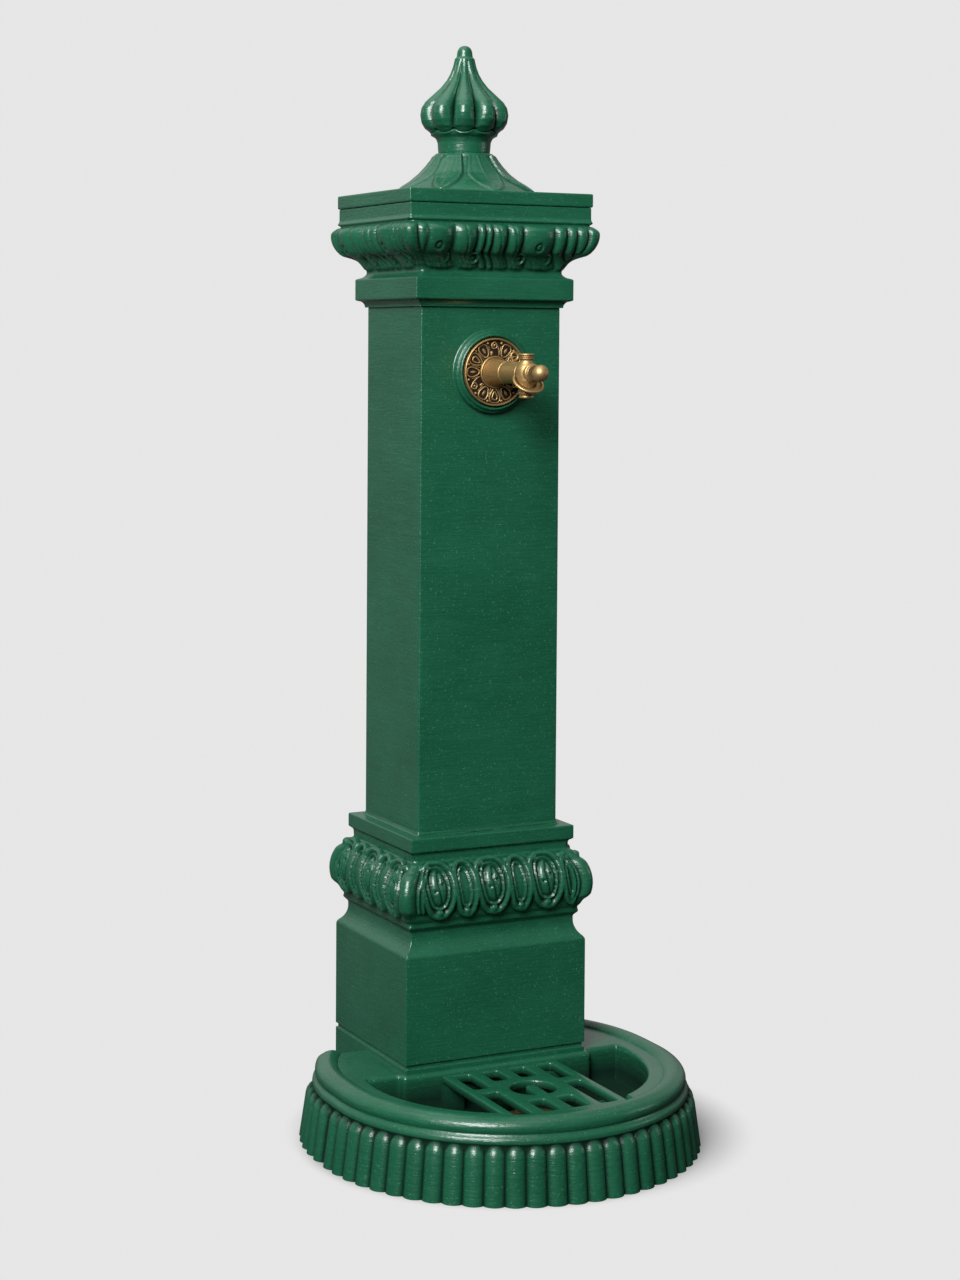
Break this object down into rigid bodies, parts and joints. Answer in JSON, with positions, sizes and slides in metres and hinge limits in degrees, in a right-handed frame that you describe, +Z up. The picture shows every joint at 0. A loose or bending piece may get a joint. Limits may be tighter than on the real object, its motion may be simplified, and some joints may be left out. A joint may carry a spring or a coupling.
{
  "type": "garden standpipe",
  "caption": "Square cast column with moulded base and capital, leaf cap and bud finial, brass self-closing push tap, and a fluted round basin with a lift-out grate.",
  "frame": {"origin": "middle of the bounding box in plan, on the surface that it stands on", "axes": "+Z up the column, -Y towards the tap and the front of the basin, +X to the right seen from the front"},
  "size_m": [0.426, 0.4314, 1.2],
  "materials": {
    "green_enamel": "semi-gloss dark green enamel over cast iron",
    "antique_brass": "aged brass, darkened in the recesses",
    "polished_brass": "worn bright brass",
    "pipe_copper": "plain copper pipe",
    "zinc_steel": "zinc plated steel",
    "spring_steel": "stainless spring wire",
    "black_rubber": "black sealing rubber"
  },
  "bodies": {
    "root": {"basin": "green_enamel", "column_base": "green_enamel", "shaft": "green_enamel", "capital": "green_enamel", "cap": "green_enamel", "finial": "green_enamel", "tie_rod": "zinc_steel", "tie_bar": "zinc_steel", "tie_washer": "zinc_steel", "tie_nut": "zinc_steel", "inlet_connector": "antique_brass", "riser_pipe": "pipe_copper", "supply_elbow": "antique_brass", "riser_clips": "zinc_steel", "rosette": "antique_brass", "tap_barrel": "antique_brass", "tail_washer": "zinc_steel", "tail_nut": "antique_brass", "tap_body": "antique_brass", "top_cap_gasket": "black_rubber", "top_cap": "polished_brass", "button_gland": "antique_brass", "gland_o_ring": "black_rubber", "return_spring": "spring_steel", "spout_nozzle": "antique_brass", "waste_outlet": "antique_brass", "waste_gasket": "black_rubber", "waste_nut": "antique_brass"},
    "grate": {"drain_grate": "green_enamel"},
    "button": {"push_button": "polished_brass", "valve_cup": "antique_brass", "valve_washer": "black_rubber"}
  },
  "joints": [
    {"name": "button_push", "type": "slide", "parent": "root", "child": "button", "axis": [0, 1, 0], "range_m": [0, 0.005], "stiffness_N_per_m": 1500, "springref_m": -0.004, "deforming": ["return_spring"]},
    {"name": "grate_lift", "type": "slide", "parent": "root", "child": "grate", "axis": [0, 0, 1], "range_m": [0, 0.08]}
  ]
}
